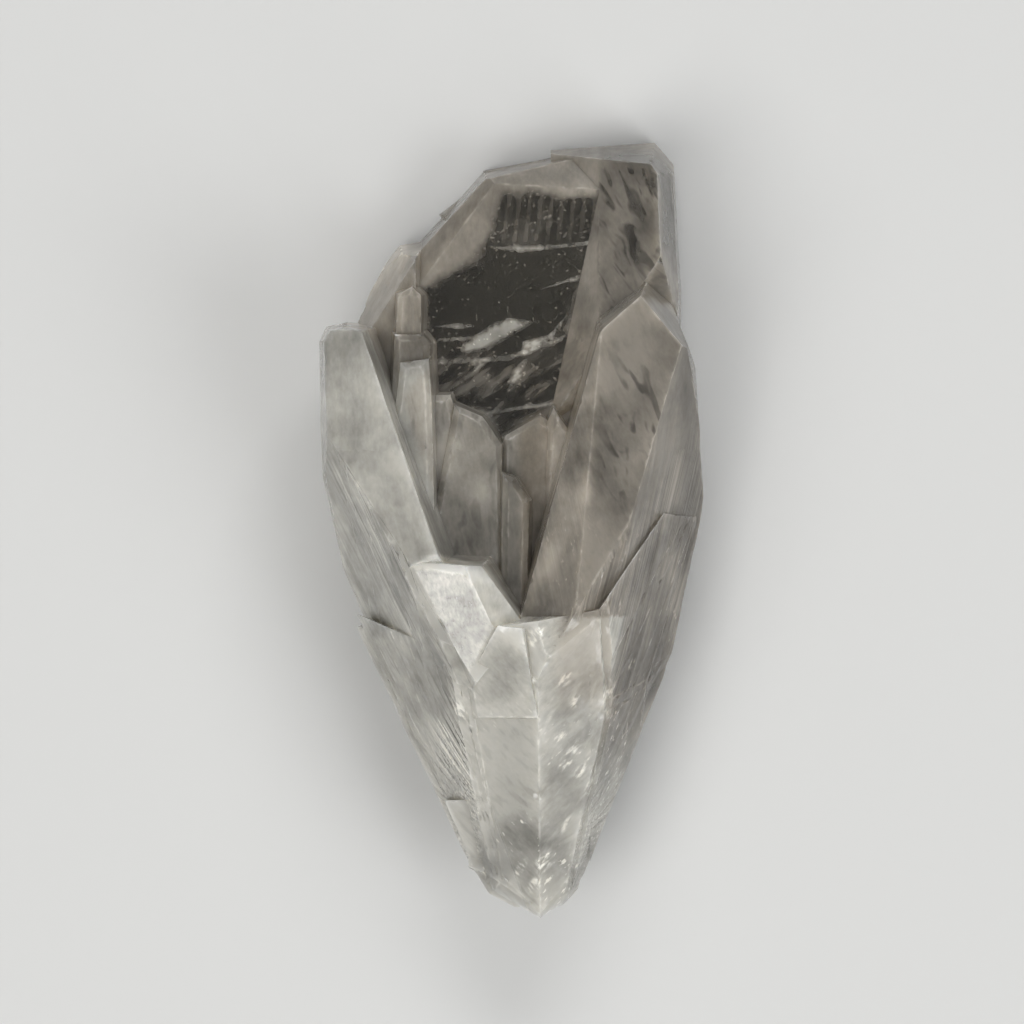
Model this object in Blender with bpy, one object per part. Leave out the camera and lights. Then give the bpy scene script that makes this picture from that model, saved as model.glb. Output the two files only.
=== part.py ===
"""A calcite crystal, 80 mm long, lying on its flat back with its open front up.

One pointed scalenohedral body carries a back plate, two side walls and a few inner fingers, all grown
together round a deep front hollow. +Y runs from the tip to the top, +X to the right of the front view, and
+Z out of the front. Every growth blade is a block trimmed by flat faces, and a Boolean fuses
them into one solid.
"""

import math
import random

import bmesh
import bpy
from mathutils import Vector

LENGTH = 0.080
MM = LENGTH / 80.0
BLOCK = 70.0

# Corners (right, up, height above the resting face) in millimetres at the 80 mm length.
TIP = (2.9, -40.0, 13.5)
CREASE_TOP = (2.6, -11.0, 26.5)
LEFT_RIDGE = (-4.3, -16.7, 21.5)
RIGHT_RIDGE = (9.8, -17.4, 21.2)
LEFT_WAIST = (-15.9, -10.3, 11.5)
RIGHT_WAIST = (16.1, -14.1, 11.0)
TIP_LEFT = (-0.4, -38.9, 12.86)
TIP_RIGHT = (5.2, -39.0, 13.16)
BACK_LEFT = (-9.0, -9.0, 0.0)
BACK_RIGHT = (11.0, -9.0, 0.0)
LEFT_BEAM = (-19.5, 5.5, 12.0)
RIGHT_BEAM = (19.7, 3.2, 11.0)
FRONT_LEFT = (TIP, CREASE_TOP, LEFT_RIDGE)
FRONT_RIGHT = (TIP, CREASE_TOP, RIGHT_RIDGE)
LOWER_LEFT_FLANK = (TIP_LEFT, LEFT_RIDGE, LEFT_WAIST)
LOWER_RIGHT_FLANK = (TIP_RIGHT, RIGHT_RIDGE, RIGHT_WAIST)
WALL_LEFT_FLANK = ((-19.4, 10.2, 20.5), (-10.3, -3.8, 24.5), (-17.4, -3.0, 12.0))
LIP_LEFT_FLANK = ((-10.3, -3.8, 24.5), LEFT_RIDGE, LEFT_WAIST)
BRIGHT_FACET = ((-10.2, -3.9, 24.0), (-4.5, -4.3, 25.2), (-4.5, -15.2, 23.0))
LEFT_WALL_FRONT = ((-19.3, 20.2, 19.5), (-15.5, 20.4, 20.5), (-10.3, -3.8, 24.5))
BACK_LOWER = ((2.9, -39.9, 13.2), BACK_LEFT, BACK_RIGHT)
LEFT_UNDER = (LEFT_WAIST, (-4.2, -34.6, 10.5), BACK_LEFT)
RIGHT_UNDER = (RIGHT_WAIST, (6.5, -37.3, 11.0), BACK_RIGHT)
SMALL_FACET = ((1.1, -9.9, 25.7), (7.2, -8.7, 25.4), (3.4, -13.8, 25.1))
RIGHT_WALL_FOOT = ((6.0, -8.9, 26.0), (10.0, -9.0, 24.7), (9.8, -17.4, 20.9))
WALL_RIGHT_FLANK = ((9.9, -10.6, 23.4), (16.6, -12.0, 11.0), RIGHT_BEAM)


def through(a, b, c):
    """A flat face through three corners."""
    a, b, c = Vector(a), Vector(b), Vector(c)
    return a, (b - a).cross(c - a).normalized()


def raised(corners, height):
    """The same corners, moved up by height."""
    return [(x, y, z + height) for x, y, z in corners]


def height_on(face, x, y):
    """How high a face passes over a place."""
    corner, normal = through(*face)
    return corner.z - (normal.x * (x - corner.x) + normal.y * (y - corner.y)) / normal.z


def side(a, b, lean):
    """A flat face along a to b, counterclockwise. Above lean 0 the blade widens towards the back."""
    a, b = Vector(a), Vector(b)
    along = (b - a).normalized()
    outward = Vector((along.y, -along.x, 0.0)).normalized()
    angle = math.radians(lean)
    backward = outward * math.sin(angle) - Vector((0, 0, 1)) * math.cos(angle)
    return a, along.cross(backward).normalized()


def level(height, right=0.0, up=0.0):
    """A front or back face: its height over the origin, and its rise per millimetre right and up."""
    return Vector((0, 0, height)), Vector((-right, -up, 1)).normalized()


def trimmed_block(planes, middle):
    """The convex solid round middle that all these planes leave of a block."""
    middle = Vector(middle)
    mesh = bmesh.new()
    bmesh.ops.create_cube(mesh, size=2 * BLOCK)
    for point, normal in planes:
        if normal.dot(middle - point) > 0:
            normal = -normal
        everything = mesh.verts[:] + mesh.edges[:] + mesh.faces[:]
        cut = bmesh.ops.bisect_plane(
            mesh, geom=everything, dist=1e-4, plane_co=point, plane_no=normal, clear_outer=True
        )
        rim = [part for part in cut["geom_cut"] if isinstance(part, bmesh.types.BMEdge)]
        if rim:
            bmesh.ops.contextual_create(mesh, geom=rim)
    bmesh.ops.recalc_face_normals(mesh, faces=mesh.faces)
    return mesh


def make_object(name, mesh, collection):
    """Turns millimetres into an object in metres."""
    bmesh.ops.scale(mesh, vec=(MM, MM, MM), verts=mesh.verts)
    data = bpy.data.meshes.new(name)
    mesh.to_mesh(data)
    mesh.free()
    made = bpy.data.objects.new(name, data)
    collection.objects.link(made)
    return made


def shard(name, planes, middle, collection):
    """One growth blade."""
    return make_object(name, trimmed_block(planes, middle), collection)


def termination():
    """The pointed lower body: six steep faces meet at the tip, and the hollow's floor closes it above."""
    return [
        through(*FRONT_LEFT),
        through(*FRONT_RIGHT),
        through(*LOWER_LEFT_FLANK),
        through(*LOWER_RIGHT_FLANK),
        through(*raised(WALL_RIGHT_FLANK, -0.5)),
        through(*SMALL_FACET),
        through(*raised(BRIGHT_FACET, -0.05)),
        side((-0.95, -35.6, 14.2), (2.9, -39.7, 13.6), 42),
        side((2.9, -39.7, 13.6), (7.1, -35.1, 14.0), 42),
        through((1.1, -9.9, 26.5), (7.2, -8.7, 26.0), (2.0, -6.3, 8.0)),
        through(*LEFT_UNDER),
        through(*RIGHT_UNDER),
        through(*BACK_LOWER),
        side(LEFT_BEAM, LEFT_WAIST, 0),
        side(RIGHT_WAIST, RIGHT_BEAM, 0),
        level(0.0),
    ], (2, -15, 10)


def upright(a, b):
    """Corners of an upright face along a to b."""
    return (*a, 0), (*b, 0), (*a, 10)


def shingles(name, flanks, bounds, inner, outer, middle, count, step, seed):
    """Growth plates that overlap on the flanks inside bounds. Their outer edges fan from inner to outer."""
    dice = random.Random(seed)
    plates = {}
    for index in range(count):
        share = (index + dice.uniform(-0.3, 0.3)) / (count - 1)
        height = step * (count - index + dice.uniform(-0.2, 0.2))
        edge = []
        for a, b in zip(inner, outer):
            x, y = Vector(a).lerp(Vector(b), share)
            edge.append((x, y, min(height_on(flank, x, y) for flank in flanks)))
        sunk = -0.02 * (index + 1)
        plates[f"{name}_{index}"] = [
            *[through(*raised(flank, height)) for flank in flanks],
            *[through(*raised(face, sunk)) for face in bounds],
            side(*edge, -14),
            level(11.5 + 0.05 * index),
        ], middle
    return plates


def flank_plates():
    """The striated growth down both flanks."""
    plates = shingles(
        "lower_left_plate", [LOWER_LEFT_FLANK],
        [FRONT_LEFT, raised(FRONT_RIGHT, -0.5), BRIGHT_FACET, upright((-17.5, -8.2), (-2.0, -14.6)),
         upright((-5.5, -33.5), (1.0, -38.0)), upright((2.4, -38), (-2.6, -13)),
         upright(LEFT_BEAM[:2], LEFT_WAIST[:2])],
        [(-5.4, -16.2), (-1.3, -33.0)], [(-14.8, -11.0), (-3.4, -35.2)], (-1.8, -22, 15), 10, 0.15, 4,
    )
    plates.update(shingles(
        "upper_left_plate", [LIP_LEFT_FLANK, WALL_LEFT_FLANK],
        [BRIGHT_FACET, LEFT_WALL_FRONT, upright((-17.5, 11.5), (-8.0, -3.0)),
         upright((-8.0, -3.0), (-2.5, -16.0)), upright((-16.0, -11.6), (-4.0, -16.6)),
         raised(FRONT_LEFT, 0.3), upright(LEFT_BEAM[:2], LEFT_WAIST[:2])],
        [(-10.9, -2.9), (-6.0, -15.7)], [(-18.2, 8.2), (-14.2, -11.3)], (-6.5, -9, 16), 8, 0.15, 7,
    ))
    plates.update(shingles(
        "lower_right_plate", [LOWER_RIGHT_FLANK],
        [FRONT_RIGHT, raised(FRONT_LEFT, -0.5), WALL_RIGHT_FLANK, RIGHT_WALL_FOOT, SMALL_FACET,
         upright((4.6, -37), (8.6, -12)), upright((4, -37), (9, -37)), upright((4, -11.5), (18, -9.5))],
        [(10.8, -17.0), (5.6, -35.5)], [(15.2, -14.6), (7.6, -34.0)], (7.8, -22, 15), 6, 0.2, 9,
    ))
    plates.update(shingles(
        "upper_right_plate", [WALL_RIGHT_FLANK],
        [raised(LOWER_RIGHT_FLANK, 0.5), RIGHT_WALL_FOOT, upright((17.6, 4.5), (8.0, -9.5)),
         upright((8.0, -9.5), (8.0, -18.0)), upright((8.0, 2.5), (20.0, 1.0))],
        [(18.2, 1.0), (11.0, -13.0)], [(19.0, 0.0), (15.0, -13.5)], (10.5, -9.5, 15), 4, 0.2, 3,
    ))
    return plates


def front_ledge():
    """The thin plate on the front left face, which ends in a level ledge below."""
    return [
        through(*raised(FRONT_LEFT, 0.4)),
        through(*raised(LOWER_LEFT_FLANK, 0.1)),
        side((-8.0, -18.4, 22.0), (2.5, -19.0, 24.0), 20),
        side((2.4, -19.0, 24.0), (1.2, -10.2, 26.0), 15),
        side((1.2, -10.2, 26.0), (-1.5, -9.9, 26.0), 0),
        side((-1.6, -10.2, 26.0), (-4.6, -15.6, 24.0), 0),
        level(12.0),
    ], (-1, -15, 18)


def tip_flakes():
    """Two blunt flakes behind the tip and a stub on its left edge."""
    left = [
        through((-2.6, -37.7, 11.0), (0.3, -39.2, 11.5), (-4.0, -28.0, 15.5)),
        side((-3.7, -35.4, 9), (-2.3, -37.6, 9), 0),
        side((-2.3, -37.6, 9), (0.4, -39.0, 9), 0),
        side((0.4, -39.0, 9), (3.0, -38.5, 9), 0),
        side((3.0, -38.0, 9), (3.0, -28.0, 9), 0),
        side((3.0, -28.0, 9), (-6.0, -28.0, 9), 0),
        side((-6.6, -28.6, 9), (-3.7, -35.4, 9), 0),
        through((-2.3, -37.6, 9.9), (0.4, -39.0, 10.4), (-2.0, -29.0, 7.9)),
    ], (-1, -35, 11.5)
    right = [
        through((4.4, -39.0, 11.2), (6.6, -37.4, 10.6), (5.0, -30.0, 15.0)),
        side((3.6, -39.3, 9), (5.2, -38.9, 9), 0),
        side((5.2, -38.9, 9), (6.8, -37.2, 9), 0),
        side((6.8, -37.2, 9), (7.6, -34.0, 9), 0),
        side((7.6, -34.0, 9), (5.0, -28.0, 9), 0),
        side((5.0, -28.0, 9), (2.5, -28.0, 9), 0),
        side((2.5, -28.0, 9), (2.5, -38.0, 9), 0),
        through((5.2, -38.9, 10.3), (6.8, -37.2, 9.6), (4.0, -30.0, 8.2)),
    ], (5, -35, 11.5)
    stub = [
        level(17.0, right=0.3, up=0.1),
        side((-4.6, -33.0, 10), (-4.4, -35.0, 10), 0),
        side((-4.4, -35.0, 10), (-3.2, -35.6, 10), 5),
        side((-3.2, -35.6, 10), (-1.0, -33.0, 10), 0),
        side((-1.0, -33.0, 10), (-3.5, -30.0, 10), 0),
        side((-4.6, -31.0, 10), (-5.1, -32.8, 10), 0),
        level(9.2),
    ], (-3.4, -33.5, 11)
    return {"tip_flake_left": left, "tip_flake_right": right, "tip_stub": stub}


def under_plates(count=5):
    """Growth steps on the hidden lower side, each narrower and further out than the one before."""
    plates = {}
    for index in range(count):
        inset = 1.5 * index
        plates[f"under_plate_{index}"] = [
            through(*raised(BACK_LOWER, -0.2 * (index + 1))),
            side((-7.0 + 0.9 * inset, -11.0, 8), (-0.2 + 0.25 * inset, -36.5, 8), -25),
            side((4.4 - 0.2 * inset, -36.0, 8), (9.0 - 1.0 * inset, -11.5, 8), -25),
            side((11.0, -12.4 - 0.7 * index, 6), (-9.0, -11.6 - 1.1 * index, 6), -20),
            side((-3.0, -33.5 + 1.5 * index, 10), (7.0, -34.4 + 2.1 * index, 10), -20),
            level(12.0 + 0.1 * index),
        ], (2.2, -24, 9)
    return plates


def lower_edge_plates():
    """Stepped growth under both outer edges."""
    plates = {}
    for index, (reach, drop) in enumerate(((14.0, 0.9), (8.0, 1.9), (2.5, 2.8))):
        plates[f"right_edge_plate_{index}"] = [
            side((19.7 + 0.28 * drop, 3.5, 10.5), (18.9 + 0.28 * drop, 16.5, 10.5), -36),
            side((16.1 + 0.28 * drop, -14.1, 10.5), (19.7 + 0.28 * drop, 3.5, 10.5), -36),
            side(RIGHT_WAIST, RIGHT_BEAM, 0),
            side(RIGHT_BEAM, (18.9, 16.5, 11), 0),
            side((20.0, reach, 6), (8.0, reach - 2.0, 6), -25),
            side((8.0, -8.5, 6), (20.0, -6.0 + 1.5 * index, 6), -25),
            side((8.0, -8.0, 6), (8.0, 16.0, 6), 0),
            level(9.6 - 1.7 * index),
            level(2.2 + 0.3 * index),
        ], (12.5, 0, 5)
        plates[f"left_edge_plate_{index}"] = [
            side((-19.8 - 0.28 * drop, 19.0, 11), (-19.5 - 0.28 * drop, 5.5, 11), -38),
            side((-19.5 - 0.28 * drop, 5.5, 11), (-15.9 - 0.28 * drop, -10.3, 11), -38),
            side((-19.5, 19.0, 11), LEFT_BEAM, 0),
            side(LEFT_BEAM, LEFT_WAIST, 0),
            side((-8.0, reach, 6), (-20.0, reach + 2.0, 6), -25),
            side((-20.0, -2.5 + 1.2 * index, 6), (-8.0, -5.0, 6), -25),
            side((-8.0, -8.0, 6), (-8.0, 18.0, 6), 0),
            level(9.9 - 1.6 * index),
            level(2.6 + 0.3 * index),
        ], (-12.5, 0, 5)
    return plates


def etch_pits():
    """Shallow three-sided pits in the resting face."""
    places = (
        (3.0, 30.5, 2.3, 0.2), (10.5, 33.0, 1.3, 0.5), (-3.5, 27.0, 1.6, 0.1), (11.5, 22.0, 2.0, 0.3),
        (1.0, 20.5, 1.1, 0.4), (-8.5, 18.0, 1.9, 0.2), (6.0, 13.5, 2.6, 0.15), (-6.0, 8.5, 1.4, 0.35),
        (11.0, 6.5, 1.5, 0.25), (0.5, 3.5, 2.1, 0.1), (-8.0, -1.5, 1.2, 0.3), (6.5, -3.0, 1.7, 0.2),
    )
    pits = {}
    for index, (x, y, size, turn) in enumerate(places):
        corners = []
        for step in range(3):
            angle = 2 * math.pi * (step / 3 + turn / 3)
            corners.append((x + size * math.cos(angle), y + 1.3 * size * math.sin(angle), 0))
        sides = [side(a, b, 68) for a, b in zip(corners, corners[1:] + corners[:1])]
        pits[f"etch_pit_{index}"] = [*sides, level(-1.0 - 0.05 * index)], (x, y, 0.05)
    return pits


def back_plate():
    """The tall clear plate behind the hollow, which the crystal lies on."""
    face = 9.0
    return [
        level(face, up=-0.02),
        level(0.0),
        through(*raised(BACK_LOWER, 0.25)),
        through(*raised(LEFT_UNDER, 0.5)),
        through(*raised(RIGHT_UNDER, 0.5)),
        side((-12.0, -20.0, 0), (13.0, -20.0, 0), 0),
        side((13.0, -14.0, 4), (16.8, 8.0, 4), 0),
        side((16.6, 8.0, 0), (16.9, 24.6, 0), 2),
        side((16.9, 24.6, 0), (16.2, 37.3, 0), 2),
        side((16.2, 37.3, 0), (14.5, 39.4, 0), 4),
        side((14.5, 39.4, 0), (7.7, 39.2, 0), 4),
        side((7.7, 39.2, 0), (-2.8, 37.2, 0), 8),
        side((-2.8, 37.2, 0), (-9.4, 29.9, 0), 6),
        side((-10.5, 29.0, 0), (-15.0, 14.0, 0), 0),
        side((-15.0, 14.0, 0), (-12.0, -14.0, 0), 0),
        side((9.1, 34.4, face), (-1.5, 35.0, face), 42),
        side((-1.2, 35.0, face), (-9.5, 24.2, face), 52),
    ], (2, 12, 4)


def rim_plates():
    """Thinner plates behind the back plate's edge, which step its upper left outline."""
    outline = ((-9.7, 29.8), (-7.4, 32.8), (-5.7, 34.1), (-2.9, 37.5), (3.4, 38.6), (8.2, 39.7))
    plates = {}
    for index, (start, end) in enumerate(zip(outline, outline[1:])):
        start, end = Vector(start), Vector(end)
        along = (end - start).normalized()
        inward = Vector((along.y, -along.x)) * (5.0 + 0.37 * index)
        start -= along * (0.35 + 0.05 * index)
        end += along * (0.2 + 0.06 * index)
        top = 3.4 + 0.9 * (index % 2) + 0.13 * index
        corners = [end, start, start + inward, end + inward]
        plates[f"rim_plate_{index}"] = [
            level(top, right=0.04, up=-0.05),
            level(0.6 + 0.17 * index),
            *[side((*a, 0.6), (*b, 0.6), 30) for a, b in zip(corners, corners[1:] + corners[:1])],
        ], (*((start + end + inward) / 2), 2.5)
    return plates


def right_rear_rib():
    """The thick right edge of the back plate."""
    crest_top = (14.8, 39.6, 12.5)
    crest_low = (15.3, 28.0, 15.5)
    return [
        through(crest_top, crest_low, (9.2, 31.0, 9.3)),
        through(crest_top, crest_low, (17.5, 24.6, 7.0)),
        through(crest_low, (9.1, 19.5, 12.5), (17.5, 20.9, 9.0)),
        side((17.3, 8.0, 1), (17.55, 24.6, 1), 3),
        side((17.55, 24.6, 1), (16.8, 37.7, 1), 3),
        side((16.8, 37.7, 1), (14.8, 40.0, 1), 10),
        side((14.8, 40.0, 1), (7.7, 39.5, 1), 12),
        side((4.0, 40.0, 5), (4.0, 0.0, 5), 0),
        side((4.0, 2.0, 5), (17.0, 2.0, 5), 0),
        level(0.7),
    ], (14, 25, 6)


def left_shoulder():
    """The lower blade behind the left wall."""
    return [
        level(17.0, right=0.3, up=-0.06),
        through((-17.6, 20.0, 4.0), (-13.1, 27.5, 4.0), (-14.5, 20.0, 12.5)),
        side((-9.3, 29.7, 2), (-11.6, 29.3, 2), 10),
        side((-11.6, 29.3, 2), (-13.1, 27.5, 2), 8),
        side((-13.1, 27.5, 2), (-17.6, 20.0, 2), 4),
        side((-18.6, 18.4, 8), (-17.0, 0.0, 8), -14),
        side((-19.6, 19.0, 11), (-19.3, 5.5, 11), -38),
        side((-17.0, -2.0, 8), (-8.0, -2.0, 8), 0),
        through(*raised(LEFT_UNDER, 0.5)),
        side((-8.6, 0.0, 8), (-9.6, 30.0, 8), 6),
        level(1.6),
    ], (-12, 18, 6)


def left_wall():
    """The long pale blade at the front left, cut square at its top."""
    return [
        through(*LEFT_WALL_FRONT),
        through(*WALL_LEFT_FLANK),
        side((-17.2, 20.6, 18), (-19.1, 20.3, 18), 4),
        side((-15.4, 20.4, 18), (-17.2, 20.6, 18), 4),
        side((-18.7, 20.5, 18), (-19.7, 18.6, 18), 4),
        side((-19.8, 19.0, 12), (-19.5, 5.5, 12), 4),
        side((-19.5, 5.5, 12), (-15.9, -10.3, 12), 4),
        side((-19.8, 19.0, 11), (-19.5, 5.5, 11), -38),
        side((-19.5, 5.5, 11), (-15.9, -10.3, 11), -38),
        side((-11.6, 9.1, 22.5), (-15.5, 20.4, 20.5), 9),
        side((-13.0, -4.3, 24.0), (-6.2, -2.6, 25.4), 24),
        side((-14.0, -12.0, 12), (-4.0, -12.0, 12), 0),
        through(*raised(LIP_LEFT_FLANK, -0.15)),
        through(*raised(BACK_LOWER, 0.4)),
        through(*raised(LEFT_UNDER, 0.3)),
        level(2.0),
    ], (-15, 5, 12)


def left_wall_foot():
    """The lower stretch of the left wall, which swings in towards the lip."""
    return [
        through(*raised(LEFT_WALL_FRONT, -0.2)),
        through(*raised(WALL_LEFT_FLANK, -0.4)),
        side((-6.2, -2.5, 24), (-11.6, 9.1, 22), 14),
        side((-11.6, 9.1, 12), (-16.0, 9.1, 12), 0),
        side((-16.0, 9.1, 12), (-12.5, -12.0, 12), 0),
        through(*raised(LIP_LEFT_FLANK, -0.3)),
        through(*raised(LEFT_UNDER, 0.7)),
        side((-11.0, -12.0, 12), (-4.0, -12.0, 12), 0),
        side((-13.0, -4.5, 24.0), (-6.2, -2.8, 25.4), 22),
        side((-4.0, -12.0, 12), (-6.2, -2.5, 12), 20),
        level(2.4),
    ], (-11, 0, 12)


def lip():
    """The block between the left wall's foot and the crease, with the broad bright facet."""
    return [
        through(*BRIGHT_FACET),
        through((-4.7, -4.4, 25.2), (-1.8, -10.5, 24.6), (0.9, -9.7, 23.4)),
        side((1.1, -9.9, 24), (-3.2, -3.9, 25), 8),
        side((-3.2, -3.9, 25), (-10.3, -3.4, 24), 6),
        through(*LIP_LEFT_FLANK),
        through(*raised(WALL_LEFT_FLANK, -0.3)),
        through(*raised(FRONT_LEFT, 0.9)),
        side((-16.0, 0.0, 12), LEFT_WAIST, 0),
        side((-15.9, -10.3, 12), (-4.3, -16.7, 12), 0),
        side((-4.3, -16.7, 12), (1.1, -9.9, 12), 0),
        through(*raised(LEFT_UNDER, 1.0)),
        level(3.0),
    ], (-6, -9, 15)


def right_wall():
    """The pointed blade at the front right, with a bevelled rib along the hollow."""
    apex = (13.2, 23.9, 21.5)
    foot = (6.5, -8.6, 26.0)
    return [
        through(apex, (18.2, 14.0, 21.0), foot),
        through((9.1, 20.5, 22.8), foot, (0.8, -9.4, 21.5)),
        side((9.1, 20.5, 22), (0.8, -9.4, 22), 3),
        side((13.2, 23.9, 21), (9.1, 20.5, 21), 6),
        side((17.9, 18.4, 20), (13.2, 23.9, 21), 12),
        side((18.4, 10.2, 20.5), (17.9, 18.4, 20), 9),
        side(foot, (18.4, 10.2, 20.8), 50),
        through(*WALL_RIGHT_FLANK),
        through(*RIGHT_WALL_FOOT),
        side(RIGHT_BEAM, (18.9, 16.5, 11), 0),
        side((18.9, 16.5, 11), (17.4, 20.6, 11), 0),
        side(RIGHT_WAIST, (19.2, -1.2, 11), 0),
        side((19.2, -1.2, 11), RIGHT_BEAM, 0),
        side((*RIGHT_BEAM[:2], 10.5), (18.9, 16.5, 10.5), -36),
        side((16.1, -14.1, 10.5), (19.7, 3.5, 10.5), -36),
        through(*raised(LOWER_RIGHT_FLANK, -0.3)),
        through(*raised(FRONT_RIGHT, -0.3)),
        through(*raised(FRONT_LEFT, -0.3)),
        through(*raised(BACK_LOWER, 0.4)),
        through(*raised(RIGHT_UNDER, 0.3)),
        side((4.0, -24.0, 12), (14.0, -24.0, 12), 0),
        level(1.8),
    ], (13, 5, 14)


def finger(left, right, foot, shoulder_left, crown, shoulder_right, face, lean=6):
    """A blunt blade inside the hollow. left and right are its sides, and the rest its top corners."""
    height, tilt_right, tilt_up = face
    top = [
        (x, y, height + tilt_right * x + tilt_up * y)
        for x, y in ((right, foot), shoulder_right, crown, shoulder_left, (left, foot))
    ]
    return [
        level(*face),
        level(2.2),
        side(top[4], top[0], 0),
        through(*raised(LEFT_UNDER, 0.8)),
        through(*raised(BACK_LOWER, 0.8)),
        *[side(a, b, lean) for a, b in zip(top, top[1:])],
        *[side(a, b, 52) for a, b in zip(raised(top, -0.45), raised(top[1:], -0.45))],
    ], ((left + right) / 2, foot + 4, 6)


def fingers():
    """The stepped blades that stand in the hollow, from left to right."""
    sizes = {
        "step_high": (-13.0, -9.4, -4.0, (-11.7, 24.1), (-10.3, 24.8), (-9.4, 24.0), (14.0, -0.1, 0.0)),
        "step_middle": (-13.0, -8.5, -4.0, (-12.0, 19.9), (-9.2, 19.9), (-8.5, 19.0), (15.0, -0.1, 0.0)),
        "step_low": (-14.0, -7.9, -4.0, (-11.4, 17.0), (-8.6, 17.4), (-8.3, 13.0), (17.5, 0.0, -0.02)),
        "finger_outer": (-12.0, -4.0, -9.0, (-9.0, 13.7), (-6.4, 13.7), (-5.9, 12.3), (13.0, 0.0, 0.0)),
        "finger_left": (-10.0, -0.9, -9.0, (-5.9, 12.7), (-3.1, 11.5), (-1.1, 8.6), (14.5, 0.05, -0.05)),
        "finger_centre": (-1.0, 6.8, -9.0, (-0.9, 9.4), (2.9, 11.6), (6.0, 9.6), (12.5, -0.25, -0.02)),
        "finger_right": (2.4, 7.8, -9.0, (3.2, 10.0), (4.3, 12.3), (6.0, 9.8), (10.6, 0.35, -0.02)),
        "finger_front": (-1.1, 1.5, -9.0, (-0.9, 5.6), (0.3, 5.2), (1.7, 2.9), (16.0, 0.0, -0.05)),
    }
    return {name: finger(*size) for name, size in sizes.items()}


def clear_scene():
    """Removes the startup objects."""
    for old in list(bpy.data.objects):
        bpy.data.objects.remove(old)


def calcite():
    """Clear to milky stone."""
    material = bpy.data.materials.new("calcite")
    material.use_nodes = True
    shader = material.node_tree.nodes["Principled BSDF"]
    shader.inputs["Base Color"].default_value = (0.78, 0.77, 0.73, 1.0)
    shader.inputs["Roughness"].default_value = 0.18
    shader.inputs["IOR"].default_value = 1.6
    shader.inputs["Transmission Weight"].default_value = 0.85
    return material


def helpers(name, shapes):
    """A collection of hidden shapes for a Boolean."""
    collection = bpy.data.collections.new(name)
    bpy.context.scene.collection.children.link(collection)
    for shape_name, (planes, middle) in shapes.items():
        helper = shard(shape_name, planes, middle, collection)
        helper.hide_render = True
        helper.display_type = "WIRE"
    return collection


def boolean(target, name, operation, collection):
    """Joins a collection of shapes to the target, or cuts them from it."""
    modifier = target.modifiers.new(name, "BOOLEAN")
    modifier.operation = operation
    modifier.operand_type = "COLLECTION"
    modifier.collection = collection
    modifier.solver = "EXACT"


def main():
    """Builds every blade and fuses them into the one crystal."""
    clear_scene()
    blades = helpers("growth_blades", {
        "back_plate": back_plate(),
        "right_rear_rib": right_rear_rib(),
        "left_shoulder": left_shoulder(),
        "left_wall": left_wall(),
        "left_wall_foot": left_wall_foot(),
        "lip": lip(),
        "right_wall": right_wall(),
        "front_ledge": front_ledge(),
        **flank_plates(),
        **under_plates(),
        **lower_edge_plates(),
        **tip_flakes(),
        **rim_plates(),
        **fingers(),
    })
    pits = helpers("etch_pits", etch_pits())
    planes, middle = termination()
    crystal = shard("calcite_crystal", planes, middle, bpy.context.scene.collection)
    crystal.data.materials.append(calcite())
    boolean(crystal, "grown_together", "UNION", blades)
    boolean(crystal, "pitted", "DIFFERENCE", pits)


main()
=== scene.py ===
"""The looks of the calcite crystal: its growth faces, cloudy stone, clear plate and healed cracks."""

import math

import bmesh
import bpy
import numpy as np
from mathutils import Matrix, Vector
from mathutils.kdtree import KDTree


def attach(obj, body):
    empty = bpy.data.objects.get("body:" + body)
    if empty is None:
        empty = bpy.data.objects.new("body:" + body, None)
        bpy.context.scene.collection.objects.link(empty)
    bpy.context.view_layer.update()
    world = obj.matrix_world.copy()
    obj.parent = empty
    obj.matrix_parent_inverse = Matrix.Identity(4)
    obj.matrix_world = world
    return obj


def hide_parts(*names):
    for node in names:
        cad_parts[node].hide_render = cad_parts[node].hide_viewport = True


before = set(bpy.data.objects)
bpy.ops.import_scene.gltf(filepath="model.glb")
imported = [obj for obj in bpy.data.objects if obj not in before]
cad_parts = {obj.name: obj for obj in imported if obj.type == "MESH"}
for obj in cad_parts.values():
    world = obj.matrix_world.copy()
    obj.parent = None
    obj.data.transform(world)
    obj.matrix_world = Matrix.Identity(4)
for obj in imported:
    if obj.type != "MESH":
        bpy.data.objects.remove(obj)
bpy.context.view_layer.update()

MM = 0.001
LONGEST_EDGE = 0.66  # of the fine mesh, in millimetres
CREASE_ANGLE = 9.0  # facets that turn more than this, in degrees, meet in a sharp edge
SEED = 5
PIXEL = 0.1032  # millimetres to a pixel of the front view
PICTURE_PIXELS = 1024
PLATE_TOP = 10.6  # the clear plate's front face is lower than this, in millimetres
WELL_OUTSIDE = -6.0  # stands for "not in this outline" where a zone is masked out
CALCITE_IOR = 1.6


# The crystal's own mesh: the solid's facets in small triangles, with the relief that grew on them.


def facets_of(solid):
    """The solid's points in millimetres and its triangles, flat facets joined and cut again evenly."""
    work = bmesh.new()
    work.from_mesh(solid.data)
    bmesh.ops.remove_doubles(work, verts=work.verts, dist=1e-6)
    bmesh.ops.dissolve_limit(work, angle_limit=math.radians(0.2), verts=work.verts, edges=work.edges)
    bmesh.ops.triangulate(work, faces=work.faces, quad_method="BEAUTY", ngon_method="BEAUTY")
    work.verts.index_update()
    points = np.array([vert.co for vert in work.verts]) / MM
    corners = np.array([[vert.index for vert in face.verts] for face in work.faces])
    work.free()
    return points, corners


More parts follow.
